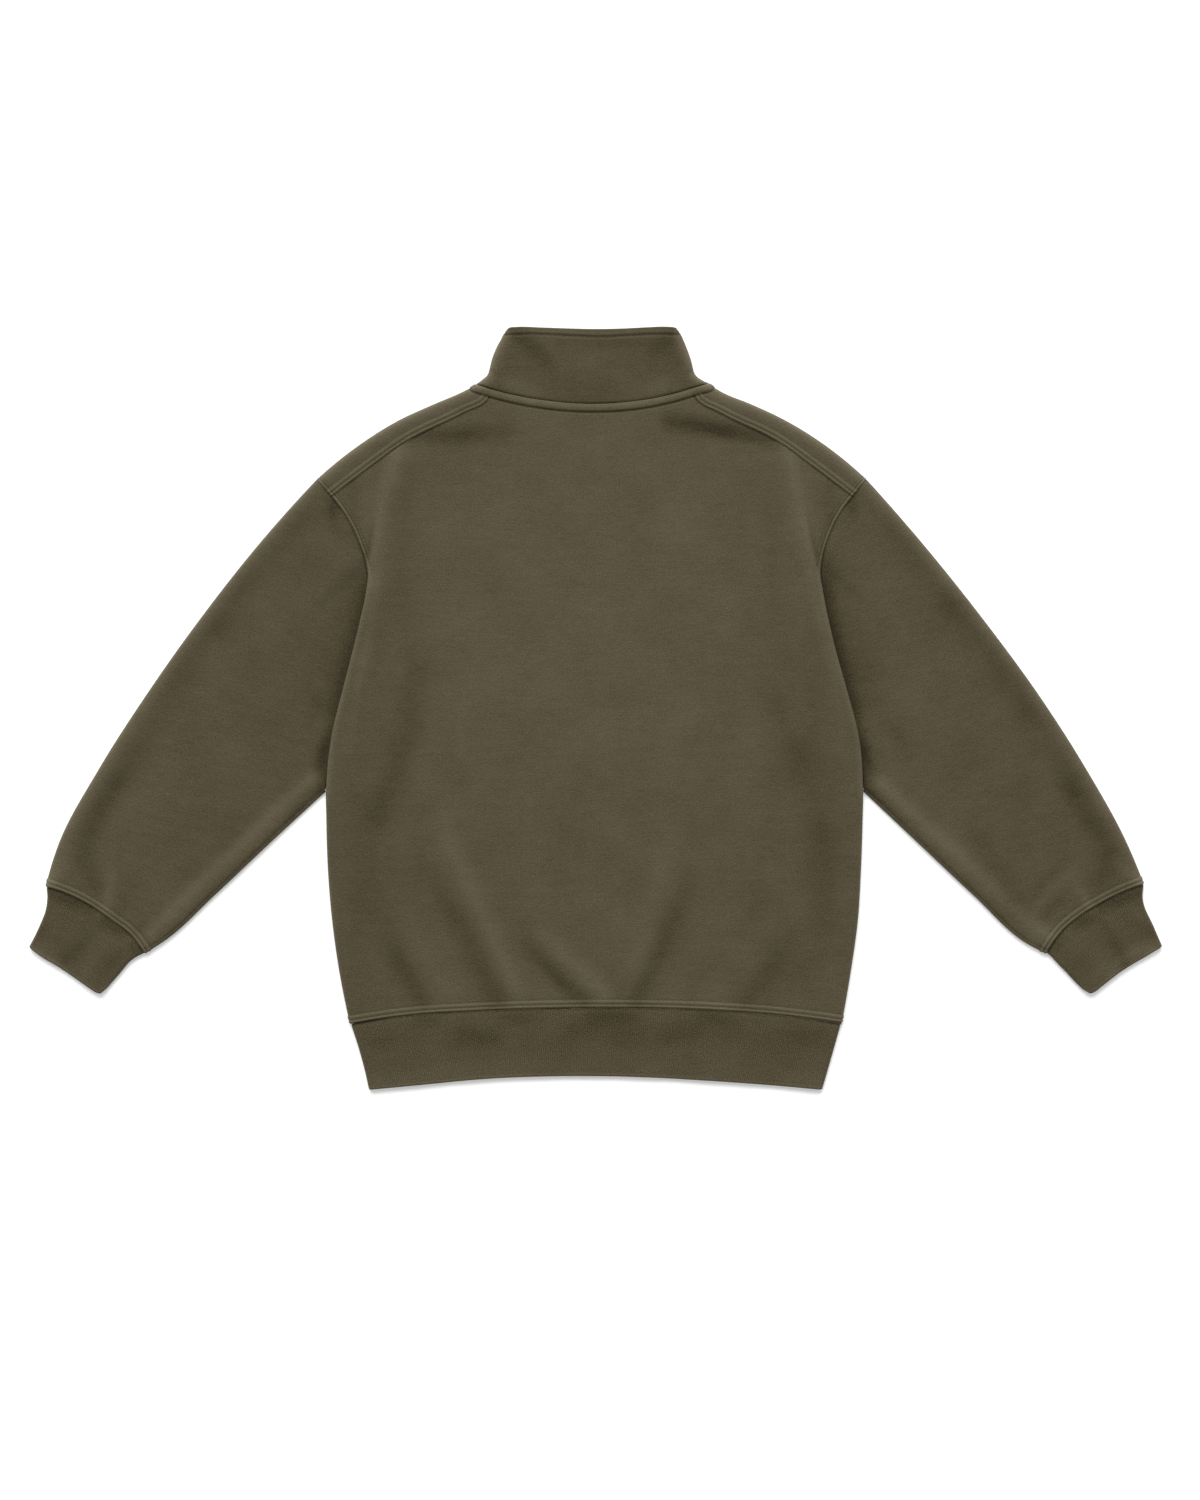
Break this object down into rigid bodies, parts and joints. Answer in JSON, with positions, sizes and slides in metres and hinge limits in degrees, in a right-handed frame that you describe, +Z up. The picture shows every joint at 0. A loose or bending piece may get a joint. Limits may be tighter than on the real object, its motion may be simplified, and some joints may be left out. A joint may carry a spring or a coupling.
{
  "type": "quarter zip sweater",
  "caption": "Relaxed drop-shoulder fleece sweatshirt with stand collar and quarter zip, ribbed cuffs and hem, laid flat on its front so that its back shows.",
  "frame": {"origin": "middle of the bounding box, on the surface that the garment lies on", "axes": "+X across the garment, towards the right-hand side as its back is looked down on, which is its own right sleeve; +Y from the hem towards the collar; +Z up from the surface"},
  "size_m": [1.1913, 0.8025, 0.0104],
  "materials": {
    "fleece": "matte brushed-back jersey, garment washed",
    "rib": "matte rib knit",
    "zip_tape": "matte woven tape",
    "zip_metal": "antique brass, satin"
  },
  "bodies": {
    "garment": {"back": "fleece", "front": "fleece", "sleeve_left": "fleece", "sleeve_right": "fleece", "cuff_left": "rib", "cuff_right": "rib", "hem_rib": "rib", "collar": "fleece", "zip_tape_left": "zip_tape", "zip_tape_right": "zip_tape", "zip_teeth_left": "zip_metal", "zip_teeth_right": "zip_metal", "zip_stop_top_left": "zip_metal", "zip_stop_top_right": "zip_metal", "zip_stop_bottom": "zip_metal", "zip_slider": "zip_metal"},
    "pull_tab": {"zip_pull_tab": "zip_metal"}
  },
  "joints": [
    {"name": "pull_tab_hinge", "type": "hinge", "parent": "garment", "child": "pull_tab", "pos_m": [-0.0038, 0.335, 0.00162], "axis": [1, 0, 0], "range_deg": [0, 170]}
  ]
}
